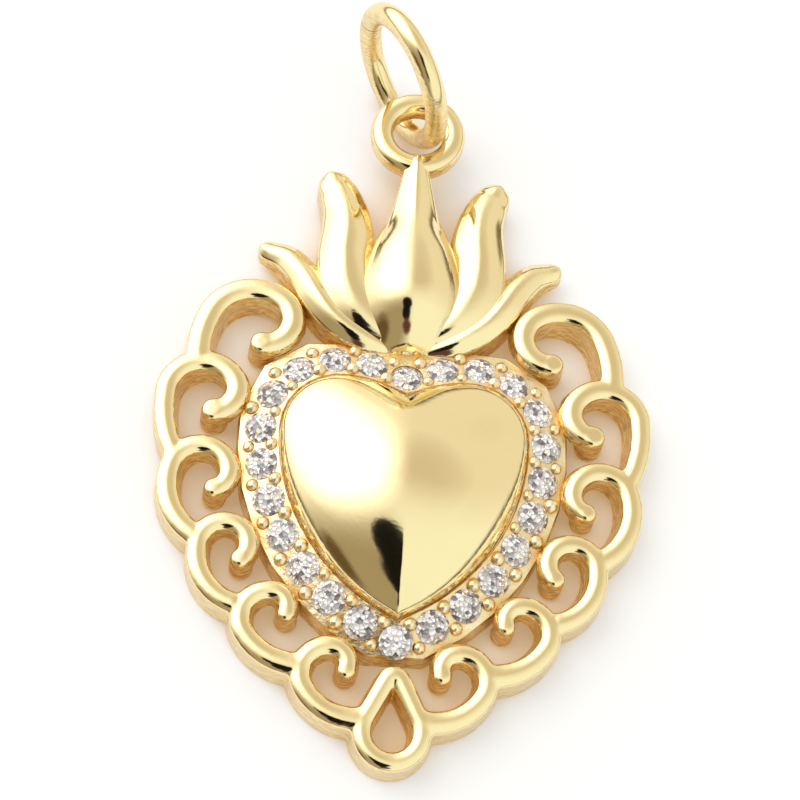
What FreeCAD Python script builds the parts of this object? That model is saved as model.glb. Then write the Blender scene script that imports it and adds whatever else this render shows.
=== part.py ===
import FreeCAD, Part
import math
import os

# Sacred heart pendant, in mm. It lies on its back: +Z out of the front,
# +Y from the tip of the heart to the hanging loop, X = 0 the mirror line.

os.makedirs("parts", exist_ok=True)
doc = FreeCAD.newDocument("sacred_heart_pendant")
sheet = doc.addObject("Spreadsheet::Sheet", "Sizes")
V = FreeCAD.Vector
UP = V(0, 0, 1)


# Lengths
SIZES = {
    # border
    "border_thick": 1.65,
    "dish_reach": 3.5,
    "dish_height": 1.05,
    # heart family: three tangent arcs a side, moved in or out by an offset
    "lobe_x": 2.65,
    "lobe_y": 4.7,
    "lobe_radius": 3.27,
    "crown_drop": 2.37,
    "side_centre": 3.41,
    # halo of stones
    "halo_in": 0.78,
    "halo_out": 0.95,
    "halo_top": 1.75,
    "halo_edge": 1.2,
    "stone_dia": 1.3,
    "stone_crown": 0.2,
    "stone_pavilion": 0.5,
    "bead_radius": 0.25,
    "bead_offset": 0.42,
    "bead_height": 0.16,
    # domed heart
    "groove": 0.08,
    "groove_depth": 0.3,
    "dome_height": 2.1,
    "dome_below_lobes": 2.3,
    # teardrop under the heart's tip
    "drop_below_tip": 3.44,
    "drop_length": 2.52,
    "drop_radius": 1.22,
    "drop_band": 0.66,
    # loop above the flame, and the jump ring through it
    "loop_above_cleft": 11.89,
    "loop_height": 1.8,
    "loop_wire": 1.0,
    "ring_play": 0.58,
    "ring_radius": 2.9,
    "ring_wire": 1.0,
    "ring_lift": 0.02,
    "ring_shift": 0.382,
    "ring_back": 0.075,
    "ring_slit": 0.05,
}
ANGLES = {"ring_heading": 32.2, "ring_slit_turn": 12}
COUNTS = {"stone_count": 24}

# The six scrolls of one side, top to bottom. A hook lies where the line square to
# the heart has this bearing, a distance out; its heading there follows.
HOOK_BEARING = (46.95, 6.5, -14.17, -30.25, -45.04, -61.83)
HOOK_OUT = (1.93, 2.034, 2.026, 1.887, 1.637, 1.855)
HOOK_HEADING = (182, 174, 162, 135, 110, 111)
# Each scroll is three tangent arcs from the hook outwards, and has one width.
RADIUS_1 = (1.2, 1.0, 0.82, 0.86, 0.65, 0.66)
RADIUS_2 = (1.95, 1.5, 1.22, 1.04, 1.1, 1.08)
RADIUS_3 = (4.5, 4.9, 2.6, 2.2, 2.6, 2.33)
TURN_1 = (144, 119, 91, 95, 99, 98)
TURN_2 = (105, 140, 145, 122, 134, 135)
TURN_3 = (30, 32, 74, 84, 56, 66)
BAND = (0.93, 0.87, 0.83, 0.79, 0.79, 0.77)
FIELDS = {
    "bearing": HOOK_BEARING, "out": HOOK_OUT, "heading": HOOK_HEADING,
    "r1": RADIUS_1, "r2": RADIUS_2, "r3": RADIUS_3,
    "a1": TURN_1, "a2": TURN_2, "a3": TURN_3, "band": BAND,
}

# The flame: stations along each petal, measured from the heart's cleft
# (x, y, half width, side height, crest).
BULB = (
    (0.0, 0.89, 1.15, 1.0, 1.1),
    (0.0, 1.44, 1.0, 1.15, 1.6),
    (0.0, 2.19, 1.5, 1.6, 2.3),
    (0.0, 3.09, 1.92, 1.85, 2.75),
    (0.0, 4.29, 2.05, 1.95, 3.0),
    (0.0, 5.79, 1.83, 1.95, 2.9),
    (0.0, 7.49, 1.17, 1.8, 2.6),
    (0.0, 9.29, 0.66, 1.75, 2.4),
)
STEM_WIDTH = 1.0
STEM_TOP = 2.3
STEM_INTO_LOOP = 0.45
MIDDLE = (
    (0.9, 1.89, 0.6, 0.8, 1.4),
    (2.0, 3.79, 1.05, 1.0, 1.9),
    (2.8, 5.59, 1.17, 1.1, 2.2),
    (2.95, 7.29, 1.12, 1.1, 2.2),
    (3.25, 8.59, 0.85, 1.0, 2.0),
    (3.78, 9.54, 0.52, 0.9, 1.6),
    (4.0, 9.89, 0.22, 0.9, 1.3),
)
OUTER = (
    (0.9, 1.69, 0.5, 1.1, 1.4),
    (2.5, 2.39, 0.62, 1.3, 1.75),
    (3.75, 3.49, 0.68, 1.35, 1.95),
    (4.55, 4.59, 0.66, 1.3, 1.95),
    (5.35, 5.54, 0.56, 1.25, 1.85),
    (6.25, 5.94, 0.36, 1.1, 1.6),
    (6.75, 5.94, 0.14, 1.0, 1.3),
)

cells = dict(SIZES)
cells.update(ANGLES)
cells.update(COUNTS)
for field, values in FIELDS.items():
    for n, value in enumerate(values, 1):
        cells["scroll%d_%s" % (n, field)] = value
for row, (alias, value) in enumerate(cells.items(), 1):
    sheet.set("A%d" % row, alias)
    sheet.set("B%d" % row, str(value))
    sheet.setAlias("B%d" % row, alias)
doc.recompute()


def val(alias):
    return float(sheet.get(alias))


def feature(label, shape):
    made = doc.addObject("Part::Feature", label)
    made.Label = label
    made.Shape = shape
    return made


def polar(centre, radius, degrees):
    turn = math.radians(degrees)
    return V(centre.x + radius * math.cos(turn), centre.y + radius * math.sin(turn), centre.z)


def arc(centre, radius, start, end):
    middle = polar(centre, radius, (start + end) / 2.0)
    return Part.Arc(polar(centre, radius, start), middle, polar(centre, radius, end)).toShape()


# Heart outlines. Each half is a crown arc, a lobe arc and a side arc.
lobe = V(val("lobe_x"), val("lobe_y"), 0)
crown = V(val("lobe_x"), val("lobe_y") - val("crown_drop"), 0)
side = V(-val("side_centre"), val("lobe_y"), 0)
lobe_r = val("lobe_radius")
crown_r = lobe_r + val("crown_drop")
side_r = lobe_r + val("lobe_x") + val("side_centre")
cleft_y = crown.y + math.sqrt(crown_r ** 2 - crown.x ** 2)
tip_y = side.y - math.sqrt(side_r ** 2 - side.x ** 2)


def heart_arcs(offset):
    top = math.degrees(math.acos(-lobe.x / (crown_r + offset)))
    tip = -math.degrees(math.acos(-side.x / (side_r + offset)))
    return (
        (crown, crown_r + offset, top, 90.0),
        (lobe, lobe_r + offset, 90.0, 0.0),
        (side, side_r + offset, 0.0, tip),
    )


def heart_wire(offset, z=0.0, scale=1.0):
    half = []
    for centre, radius, start, end in heart_arcs(offset):
        half.append(arc(centre, radius, start, end))
    whole = Part.Wire(half)
    other = whole.mirror(V(0, 0, 0), V(1, 0, 0))
    wire = Part.Wire(Part.__sortEdges__(whole.Edges + other.Edges))
    if scale != 1.0:
        wire.scale(scale, V(0, val("lobe_y") - val("dome_below_lobes"), 0))
    wire.translate(V(0, 0, z))
    return wire


def heart_point(run):
    for centre, radius, start, end in heart_arcs(0.0):
        length = math.radians(abs(end - start)) * radius
        if run <= length:
            angle = start - math.degrees(run / radius)
            return polar(centre, radius, angle), angle
        run -= length
    return polar(centre, radius, end), end


def heart_run():
    total = 0.0
    for centre, radius, start, end in heart_arcs(0.0):
        total += math.radians(abs(end - start)) * radius
    return total


# The point beside the right half where the line square to it has this bearing.
def beside_heart(bearing, offset):
    for centre, radius, start, end in heart_arcs(offset):
        if start >= bearing >= end:
            return polar(centre, radius, bearing)
    raise ValueError("no such bearing on the heart")


# A closed profile of (offset, z) corners carried along the right half of the heart.
def along_heart(profile):
    runs = []
    for centre, radius, start, end in heart_arcs(0.0):
        if start > 90:
            start += 15
        if end < 0:
            end -= 15
        begin = polar(V(0, 0, 0), 1.0, start)
        corners = [centre + begin * (radius + offset) + UP * z for offset, z in profile]
        face = Part.Face(Part.makePolygon(corners + corners[:1]))
        runs.append(face.revolve(centre, UP, end - start))
    whole = runs[0].multiFuse(runs[1:])
    return whole.common(Part.makeBox(30, 60, 20, V(0, -30, -10)))


def mirrored(shape):
    return shape.mirror(V(0, 0, 0), V(1, 0, 0))


# A solid of flat facets between two even rings of corners, or a ring and a tip.
def facets(sides, low_radius, low_z, high_radius, high_z):
    def corner(radius, z, k):
        turn = math.radians(360.0 * k / sides)
        return V(radius * math.cos(turn), radius * math.sin(turn), z)

    faces = []
    for radius, z in ((low_radius, low_z), (high_radius, high_z)):
        if radius > 0:
            faces.append(Part.Face(Part.makePolygon([corner(radius, z, k) for k in range(sides + 1)])))
    for k in range(sides):
        corners = [corner(high_radius, high_z, k), corner(high_radius, high_z, k + 1),
                   corner(low_radius, low_z, k + 1)]
        if low_radius > 0:
            corners.append(corner(low_radius, low_z, k))
        faces.append(Part.Face(Part.makePolygon(corners + corners[:1])))
    solid = Part.Solid(Part.Shell(faces))
    if solid.Volume < 0:
        solid.reverse()
    return solid


# Border section: flat top and straight walls.
thick = val("border_thick")


def section(centre, heading, left, right):
    out = V(-math.sin(math.radians(heading)), math.cos(math.radians(heading)), 0)
    corners = ((left, 0), (right, 0), (right, thick), (left, thick), (left, 0))
    return Part.Face(Part.makePolygon([centre + out * across + UP * z for across, z in corners]))


def scroll(n):
    name = "scroll%d_" % n
    at = beside_heart(val(name + "bearing"), val(name + "out"))
    heading = val(name + "heading")
    half = val(name + "band") / 2.0
    pieces = [section(at, heading, 0, half).revolve(at, UP, 180)]
    for k in (1, 2, 3):
        radius = val("%sr%d" % (name, k))
        angle = val("%sa%d" % (name, k))
        centre = polar(at, radius, heading - 90)
        pieces.append(section(at, heading, -half, half).revolve(centre, UP, -angle))
        heading -= angle
        at = polar(centre, radius, heading + 90)
    return pieces[0].multiFuse(pieces[1:]).removeSplitter()


scrolls = [feature("scroll_%d" % n, scroll(n)) for n in range(1, len(BAND) + 1)]


# Teardrop: a big arc, two straight legs and a small round apex.
def drop_wire(offset):
    low = V(0, tip_y - val("drop_below_tip"), 0)
    radius = val("drop_radius") + offset
    lean = math.asin(val("drop_radius") / val("drop_length"))
    tip = max(0.12, val("drop_band") * 0.4 + offset)
    high = V(0, low.y + (radius - tip) / math.sin(lean), 0)
    turn = math.degrees(lean)
    bottom = arc(low, radius, turn, -180 - turn)
    top = arc(high, tip, turn, 180 - turn)
    right = Part.makeLine(polar(low, radius, turn), polar(high, tip, turn))
    left = Part.makeLine(polar(high, tip, 180 - turn), polar(low, radius, 180 - turn))
    return Part.Wire([bottom, right, top, left])


band = val("drop_band") / 2.0
drop = Part.Face(drop_wire(band)).cut(Part.Face(drop_wire(-band)))
teardrop = feature("teardrop", drop.extrude(UP * thick))

# Stones lie evenly spaced along the heart, on the halo's slope.
count = int(val("stone_count"))
pitch = 2 * heart_run() / count
outer = val("halo_out")
inner = -val("halo_in")
well_z = val("halo_top") - val("groove_depth")
tilt = math.degrees(math.atan2(val("halo_top") - val("halo_edge"), outer - inner))
mid_z = val("halo_edge") + (val("halo_top") - val("halo_edge")) * outer / (outer - inner)


def spot(run):
    total = 2 * heart_run()
    run = run % total
    left = run > total / 2.0
    point, angle = heart_point(total - run if left else run)
    out = V(math.cos(math.radians(angle)), math.sin(math.radians(angle)), 0)
    if abs(point.x) < 0.001:
        out = V(0, 1 if point.y > lobe.y else -1, 0)
    if left:
        point = V(-point.x, point.y, point.z)
        out = V(-out.x, out.y, 0)
    return point, out


def halo_corner(place, offset, z):
    point, out = spot(place * pitch)
    return point + out * offset + UP * z


def flat_face(corners):
    return Part.Face(Part.makePolygon(list(corners) + [corners[0]]))


# Halo: one flat slope to each stone, round a plate that is sunk behind the dome.
foot = [halo_corner(k + 0.5, outer, 0) for k in range(count)]
edge = [halo_corner(k + 0.5, outer, val("halo_edge")) for k in range(count)]
rim = [halo_corner(k / 2.0, inner, val("halo_top")) for k in range(2 * count)]
faces = [flat_face(foot), flat_face(rim)]
for k in range(count):
    before = edge[k - 1]
    after = edge[k]
    faces.append(flat_face((foot[k - 1], foot[k], after, before)))
    faces.append(flat_face((before, after, rim[2 * k])))
    faces.append(flat_face((before, rim[2 * k], rim[2 * k - 1])))
    faces.append(flat_face((after, rim[2 * k + 1], rim[2 * k])))
halo = Part.Solid(Part.Shell(faces))
if halo.Volume < 0:
    halo.reverse()
well = flat_face([corner - UP * val("groove_depth") for corner in rim]).extrude(UP)
halo = halo.cut(well)

# Dome: heart outlines drawn in towards the middle and raised along an ellipse.
steps = (0, 24, 50, 75)
levels = []
for degrees in steps:
    turn = math.radians(degrees)
    rise = well_z + val("groove_depth") * 0.6 + val("dome_height") * math.sin(turn)
    levels.append(heart_wire(inner - val("groove"), rise, math.cos(turn)))
foot = Part.Face(heart_wire(inner - val("groove"), well_z - 0.2)).extrude(UP * (0.2 + val("groove_depth") * 0.6))
dome = feature("dome", foot.fuse(Part.makeLoft(levels, True, True)))


# Petals: cross-sections with straight sides and a crest of four flats.
def petal(stations):
    rings = []
    for i, (x, y, half, side_z, crest) in enumerate(stations):
        before = stations[max(i - 1, 0)]
        after = stations[min(i + 1, len(stations) - 1)]
        along = V(after[0] - before[0], after[1] - before[1], 0).normalize()
        out = V(-along.y, along.x, 0)
        lift = side_z + (crest - side_z) * 0.75
        y += cleft_y
        corners = ((-1, 0), (1, 0), (1, side_z), (0.6, lift), (0, crest), (-0.6, lift), (-1, side_z), (-1, 0))
        rings.append(Part.makePolygon([V(x, y, z) + out * half * across for across, z in corners]))
    return Part.makeLoft(rings, True, True)


hole = val("ring_wire") / 2.0 + val("ring_play")
stem_y = val("loop_above_cleft") - hole - val("loop_wire") / 2.0 + STEM_INTO_LOOP
stem = ((0.0, stem_y, STEM_WIDTH / 2.0, val("loop_height"), STEM_TOP),)
bulb = feature("flame_bulb", petal(BULB + stem))
middle = feature("flame_middle", petal(MIDDLE))
outside = feature("flame_outer", petal(OUTER))

# Stones, seats and beads, evenly spaced round the halo.
radius = val("stone_dia") / 2.0


def lean(out):
    axis = V(-out.y, out.x, 0)
    return FreeCAD.Rotation(axis, tilt)


def stone_shape():
    table = []
    girdle = []
    for k in range(8):
        turn = math.radians(45 * k + 22.5)
        table.append(V(0.56 * radius * math.cos(turn), 0.56 * radius * math.sin(turn), val("stone_crown")))
    for k in range(16):
        turn = math.radians(22.5 * k)
        girdle.append(V(radius * math.cos(turn), radius * math.sin(turn), 0))
    culet = V(0, 0, -val("stone_pavilion"))
    faces = [Part.Face(Part.makePolygon(table + table[:1]))]
    for k in range(8):
        a = table[k]
        b = table[(k + 1) % 8]
        g = [girdle[(2 * k + j) % 16] for j in (0, 1, 2, 3)]
        for corners in ((a, g[0], g[1]), (a, g[1], g[2]), (a, g[2], b)):
            faces.append(Part.Face(Part.makePolygon(list(corners) + [corners[0]])))
    for k in range(16):
        corners = (girdle[k], girdle[(k + 1) % 16], culet)
        faces.append(Part.Face(Part.makePolygon(list(corners) + [corners[0]])))
    return Part.Solid(Part.Shell(faces))


stones = []
seats = []
beads = []
master = stone_shape()
for k in range(count):
    point, out = spot(k * pitch)
    place = FreeCAD.Placement(V(point.x, point.y, mid_z), lean(out))
    name = "stone_%02d" % (k + 1)
    jewel = feature(name, master.copy())
    jewel.Placement = place
    stones.append(jewel)
    for seat in (facets(16, 0, -val("stone_pavilion"), radius, 0), facets(16, radius, 0, radius, 0.5)):
        seat.Placement = place
        seats.append(seat)
    point, out = spot((k + 0.5) * pitch)
    for way in (-1, 1):
        bead = facets(6, val("bead_radius"), -0.3, val("bead_radius") * 0.7, val("bead_height"))
        spread = out * (way * val("bead_offset"))
        rise = mid_z - way * val("bead_offset") * math.tan(math.radians(tilt))
        bead.Placement = FreeCAD.Placement(V(point.x + spread.x, point.y + spread.y, rise), lean(out))
        beads.append(bead)
halo = feature("halo", halo.multiFuse(beads).cut(Part.makeCompound(seats)))

# A ring about its own Z axis from a section of (across, up) corners.
def ring_of(radius, corners):
    points = [V(radius + across, 0, up) for across, up in corners]
    return Part.Face(Part.makePolygon(points + points[:1])).revolve(V(0, 0, 0), UP, 360)


# Loop on top: full and smooth outside, bevelled towards its hole.
loop_half = val("loop_wire") / 2.0
loop_section = [(loop_half, loop_half * 0.45), (loop_half * 0.3, loop_half), (-loop_half, loop_half * 0.3),
                (-loop_half, -loop_half * 0.3), (loop_half * 0.3, -loop_half), (loop_half, -loop_half * 0.45)]
loop_radius = hole + loop_half
loop = feature("loop", ring_of(loop_radius, loop_section))
loop.Placement.Base = V(0, cleft_y + val("loop_above_cleft"), 0)
loop.setExpression("Placement.Base.z", "Sizes.loop_height")

# The border is dished behind: the hooks and crowns stop short of the back.
border = doc.addObject("Part::MultiFuse", "border_half")
border.Shapes = scrolls
dish = feature("dish", along_heart([(0, -1), (val("dish_reach"), -1), (val("dish_reach"), 0),
                                    (outer, val("dish_height")), (0, val("dish_height"))]))
dished = doc.addObject("Part::Cut", "dished_border")
dished.Base = border
dished.Tool = dish

half = doc.addObject("Part::MultiFuse", "half")
half.Refine = True
half.Shapes = [dished, middle, outside]
other = doc.addObject("Part::Mirroring", "other_half")
other.Source = half
other.Base = V(0, 0, 0)
other.Normal = V(1, 0, 0)
cast = doc.addObject("Part::MultiFuse", "cast_body")
cast.Refine = True
cast.Shapes = [half, other, teardrop, halo, dome, bulb, loop]

# Jump ring: a round wire ring with a fine slit, standing in the loop.
around = [math.radians(36 * k + 18) for k in range(10)]
wire_half = val("ring_wire") / 2.0
wire_section = [(wire_half * math.cos(turn), wire_half * math.sin(turn)) for turn in around]
wire = feature("ring_wire_round", ring_of(val("ring_radius"), wire_section))
gap = doc.addObject("Part::Box", "ring_gap")
gap.setExpression("Length", "Sizes.ring_radius + Sizes.ring_wire")
gap.setExpression("Width", "Sizes.ring_slit")
gap.setExpression("Height", "Sizes.ring_wire * 2")
gap.setExpression("Placement.Base.z", "-Sizes.ring_wire")
gap.Placement.Rotation = FreeCAD.Rotation(UP, val("ring_slit_turn"))
jump = doc.addObject("Part::Cut", "jump_ring")
jump.Base = wire
jump.Tool = gap
stand = FreeCAD.Rotation(UP, val("ring_heading") + 90).multiply(FreeCAD.Rotation(V(1, 0, 0), 90))
centre_z = val("ring_radius") + wire_half + val("ring_lift")
reach = math.sqrt(val("ring_radius") ** 2 - (centre_z - val("loop_height")) ** 2)
through = loop.Placement.Base + V(val("ring_shift"), -val("ring_back"), 0)
centre = through + polar(V(0, 0, 0), reach, val("ring_heading") + 90)
jump.Placement = FreeCAD.Placement(V(centre.x, centre.y, 0), stand)
jump.setExpression("Placement.Base.z", "Sizes.ring_radius + Sizes.ring_wire / 2 + Sizes.ring_lift")
doc.recompute()

for thing in doc.Objects:
    if "Invalid" in thing.State or "Error" in thing.State:
        raise RuntimeError("not built: " + thing.Label)
for piece in [cast, jump] + stones:
    if piece.Shape.isNull() or not piece.Shape.isValid():
        raise RuntimeError("bad shape: " + piece.Label)
    piece.Shape.exportStep("parts/%s.step" % piece.Label)
    if piece in (cast, jump, stones[0]):
        box = piece.Shape.BoundBox
        print(piece.Label, len(piece.Shape.Solids), "solids", round(piece.Shape.Volume, 2), "mm3",
              [round(v, 2) for v in (box.XMin, box.XMax, box.YMin, box.YMax, box.ZMin, box.ZMax)])
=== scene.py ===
import math

import bpy
from bpy.props import FloatProperty, FloatVectorProperty, IntProperty, PointerProperty
from bpy.types import Operator, Panel, PropertyGroup
from mathutils import Matrix, Vector


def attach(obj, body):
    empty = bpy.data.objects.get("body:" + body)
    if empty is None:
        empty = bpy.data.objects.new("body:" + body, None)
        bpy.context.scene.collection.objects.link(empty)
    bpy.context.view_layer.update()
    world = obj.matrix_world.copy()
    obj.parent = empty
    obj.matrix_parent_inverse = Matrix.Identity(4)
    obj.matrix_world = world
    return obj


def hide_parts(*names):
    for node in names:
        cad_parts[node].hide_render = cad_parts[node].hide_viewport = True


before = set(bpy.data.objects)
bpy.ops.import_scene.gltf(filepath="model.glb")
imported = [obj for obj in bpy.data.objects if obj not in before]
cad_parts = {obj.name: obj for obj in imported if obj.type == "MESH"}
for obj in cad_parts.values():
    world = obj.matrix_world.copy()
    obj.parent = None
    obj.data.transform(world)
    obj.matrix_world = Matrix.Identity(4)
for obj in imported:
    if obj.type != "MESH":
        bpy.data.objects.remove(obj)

bl_info = {
    "name": "Sacred heart pendant",
    "version": (1, 0, 0),
    "blender": (4, 5, 0),
    "location": "View3D > Sidebar > Pendant",
    "description": "Models the pendant's finished pieces around its packed frame",
    "category": "Object",
}

# Pieces are drawn in millimetres and brought to metres when they are finished.
MM = 0.001
BODY = "pendant"

# Angles in degrees above which an edge stays sharp when a piece is shaded smooth.
CRISP = 35
SOFT = 50
ROUND_WIRE = 40

# The six scrolls of one side, top to bottom: middle of the hook end, heading there,
# then three tangent arcs (radius, degrees), and the band's width at hook and outer end.
SCROLLS = (
    (6.18, 8.5, 182, (1.19, 144), (1.97, 105), (4.51, 31), 0.96, 1.02),
    (7.92, 5.3, 174, (1.0, 119), (1.51, 140), (4.9, 34), 0.96, 0.84),
    (7.61, 1.91, 162, (0.81, 91), (1.22, 145), (2.59, 76), 0.78, 0.92),
    (6.29, -0.97, 135, (0.86, 95), (1.04, 122), (2.21, 85), 0.78, 0.86),
    (4.34, -3.06, 110, (0.65, 99), (1.1, 134), (2.6, 57), 0.72, 0.94),
    (1.87, -5.16, 111, (0.66, 98), (1.09, 135), (2.33, 66), 0.74, 0.9),
)

# The flame: stations along each petal (x, y, half width, side height, crest).
BULB = (
    (0.0, 8.4, 1.2, 1.0, 1.1),
    (0.0, 8.95, 1.34, 1.3, 1.8),
    (0.0, 9.7, 1.64, 1.65, 2.42),
    (0.0, 10.6, 1.92, 1.93, 2.85),
    (0.0, 11.7, 2.02, 2.06, 3.0),
    (0.0, 13.2, 1.72, 2.08, 2.86),
    (0.0, 14.8, 1.06, 2.05, 2.56),
    (0.0, 16.2, 0.72, 2.1, 2.43),
    (0.0, 17.45, 0.5, 2.14, 2.4),
)
MIDDLE = (
    (0.85, 9.3, 0.55, 1.36, 1.6),
    (2.0, 10.3, 0.95, 1.72, 2.0),
    (2.72, 11.5, 1.13, 1.8, 2.2),
    (2.92, 12.8, 1.13, 1.78, 2.3),
    (2.88, 14.0, 1.08, 1.78, 2.28),
    (3.0, 15.1, 0.94, 1.72, 2.15),
    (3.3, 16.0, 0.8, 1.66, 1.98),
    (3.5, 16.4, 0.7, 1.6, 1.88),
)
OUTER = (
    (0.7, 8.75, 0.4, 1.05, 1.3),
    (2.0, 9.25, 0.6, 1.45, 1.7),
    (3.2, 10.0, 0.67, 1.55, 1.88),
    (4.0, 10.95, 0.69, 1.58, 1.92),
    (4.65, 11.95, 0.65, 1.5, 1.82),
    (5.38, 12.75, 0.57, 1.38, 1.64),
    (6.2, 13.12, 0.44, 1.2, 1.38),
)

# The side petals: piece, stations, how far each side leans out at its foot, lift under the tip.
SIDE_PETALS = (
    ("flame_middle", MIDDLE, 0.07, 0.3),
    ("flame_outer", OUTER, 0.05, 0.55),
)
# The bulb's ridge is sharper than the side petals', and rounder where the bulb is broad.
BULB_SPREAD = 0.04
BULB_SHARPER = 0.3
BULB_ROUNDER = 0.55
STATION_STEPS = 8
TIP_ANGLES = (15, 30, 45, 60, 72, 82)
CREST_STEPS = 12

# Where the domed top of a border band has its corners, as shares of its half width.
BAND_CORNERS = (0.95, 0.75, 0.5, 0.25, 0, -0.25, -0.5, -0.75, -0.95)
# How far a band's walls end below its domed top, and the degrees of one step along an arc.
BAND_EDGE = 0.06
SPIN_STEP = 9

# How much deeper a seat is than its stone, how much larger its radius is, and its cutter's rise.
SEAT_DEEPER = 0.03
SEAT_WIDER = 0.01
SEAT_CUTTER_RISE = 0.6

# The table top lies this far under the pendant.
TABLE_GAP = 0.03

# Scales of the patterns, in waves per metre.
CLOUDS = 700.0
GRAIN = 2600.0
WAVES = 350.0
PITS = 3200.0
FACETS = 5400.0

# The studio. Directions point out from the pendant, and angles are in degrees.
# Pale parts: direction, inner and outer angle, colour round it, colour in it.
WINDOW = ((-0.50, 0.46, 0.73), 16, 44, (1.3, 1.3, 1.25, 1.0), (2.4, 2.4, 2.4, 1.0))
FAR_CORNER = ((0.26, 0.40, 0.88), 9, 32, (0.90, 0.86, 0.74, 1.0), (0.71, 0.65, 0.52, 1.0))
LOW_LEFT = (0.40, 0.345, 0.24, 1.0)
LOW_RIGHT = (1.02, 1.08, 1.02, 1.0)
SKYLINE = (0.17, 0.125, 0.065, 1.0)
DARK = (0.008, 0.008, 0.008, 1.0)
# Dark parts that the polish mirrors: direction, inner and outer angle, colour.
DARK_PARTS = (
    ((-0.11, -0.34, 0.93), 9, 11.5, DARK),
    ((-0.165, -0.30, 0.93), 7, 9.5, DARK),
    ((-0.14, -0.54, 0.83), 8, 10.5, DARK),
    ((-0.09, -0.75, 0.65), 7, 12, (0.12, 0.05, 0.04, 1.0)),
    ((-0.80, -0.55, 0.24), 8, 16, (0.14, 0.095, 0.045, 1.0)),
)

SOFTBOX_PLACE = (-0.20, 0.10, 0.34)
SOFTBOX_SIZE = 0.26
SOFTBOX_ENERGY = 0.30

# Painted shadow and painted gold bounce light on the table close to the pendant, and how much of the table
# glows for the camera.
TABLE_SHADOW_AND_GOLD_BOUNCE = (0.80, 0.55, 0.27, 1.0)
TABLE_SHARE = 0.45
WHITE = (1.0, 1.0, 1.0, 1.0)

CAMERA_PLACE = (-4.472, -18.821, 58.617)
CAMERA_TURN = (23.517, -5.238, 2.326)
CAMERA_LENS = 67.5


def length(name, description, millimetres):
    return FloatProperty(name=name, description=description, default=millimetres * MM,
                         unit="LENGTH", precision=5)


def colour(name, description, value):
    return FloatVectorProperty(name=name, description=description, default=value, size=4,
                               min=0.0, max=1.0, subtype="COLOR")


class PendantBorderSizes(PropertyGroup):
    thick: length("Height", "Height of the border above the table", 1.65)
    draft: length("Draft", "How far each wall leans out at its foot", 0.13)
    crown: length("Crown", "How much each band's top is domed", 0.14)
    dish_reach: length("Dish reach", "Where the hollow behind the border ends, out from the heart", 3.8)
    dish_height: length("Dish height", "Height of the hollow next to the halo", 1.15)
    voxel: length("Grain", "Cell size used to melt the bands into one casting", 0.08)
    melt: IntProperty(name="Melt", description="Smoothing rounds that round the edges", default=7)
    cap_round: length("Hook end round", "Rounding of each hook's end", 0.16)
    drop_y: length("Drop centre", "Middle of the teardrop's round end", -7.42)
    drop_radius: length("Drop radius", "Radius of the teardrop's centre line", 1.17)
    drop_apex: length("Drop apex", "Where the teardrop's legs would meet", -4.9)
    drop_band: length("Drop band", "Width of the teardrop's band", 0.76)


class PendantHeartSizes(PropertyGroup):
    lobe_x: length("Lobe X", "Middle of the lobe, off the mirror line", 2.65)
    lobe_y: length("Lobe Y", "Middle of the lobe, up the pendant", 4.7)
    lobe_radius: length("Lobe radius", "Radius of the line of stones round the lobe", 3.27)
    crown_drop: length("Crown drop", "How far the crown arc's centre lies below the lobe's", 2.37)
    side_centre: length("Side centre", "Centre of the long side arc, past the mirror line", 3.41)
    halo_in: length("Halo inside", "Stone line to the halo's inner rim", 0.78)
    halo_out: length("Halo outside", "Stone line to the halo's outer rim", 0.95)
    halo_top: length("Halo top", "Height of the inner rim", 1.75)
    halo_edge: length("Halo edge", "Height of the outer rim", 1.2)
    halo_swell: length("Halo swell", "How much wider the halo is at the lobes' shoulders", 0.22)
    groove: length("Groove", "Width of the groove round the dome", 0.05)
    groove_depth: length("Groove depth", "Depth of that groove", 0.3)
    dome_height: length("Dome height", "Rise of the domed heart above the halo", 1.98)
    dome_centre: length("Dome centre", "Where the dome is highest, up the pendant", 2.4)
    dome_round: length("Dome round", "Radius of the round outline the dome melts into", 4.6)
    dome_notch: length("Dome notch", "How much smaller that radius is towards the notch", 0.4)


class PendantStoneSizes(PropertyGroup):
    count: IntProperty(name="Stones", description="Stones round the heart", default=24)
    diameter: length("Diameter", "Stone diameter", 1.36)
    crown: length("Crown", "Table height above the girdle", 0.2)
    pavilion: length("Pavilion", "Depth of the point below the girdle", 0.58)
    bead: length("Bead radius", "Radius of a bead prong", 0.3)
    bead_offset: length("Bead offset", "Bead prong off the stone line", 0.48)
    bead_sink: length("Bead sink", "How deep a bead prong's middle lies in the halo", 0.1)


class PendantFlameSizes(PropertyGroup):
    ridge: FloatProperty(name="Ridge", description="Lower is a sharper ridge on a petal", default=1.85)
    petal_grain: length("Petal grain", "Cell size used to round the side petals", 0.06)
    petal_melt: IntProperty(name="Petal melt", description="Smoothing rounds on the side petals", default=12)
    loop_y: length("Loop Y", "Middle of the hanging loop", 19.17)
    loop_z: length("Loop Z", "Height of the hanging loop's middle", 1.8)
    loop_radius: length("Loop radius", "Radius of the loop's centre line", 1.62)
    loop_wire: length("Loop band", "Width of the loop's band", 1.02)
    loop_round: FloatProperty(name="Loop round", description="2 is a round band, more is squarer", default=2.8)


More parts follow.
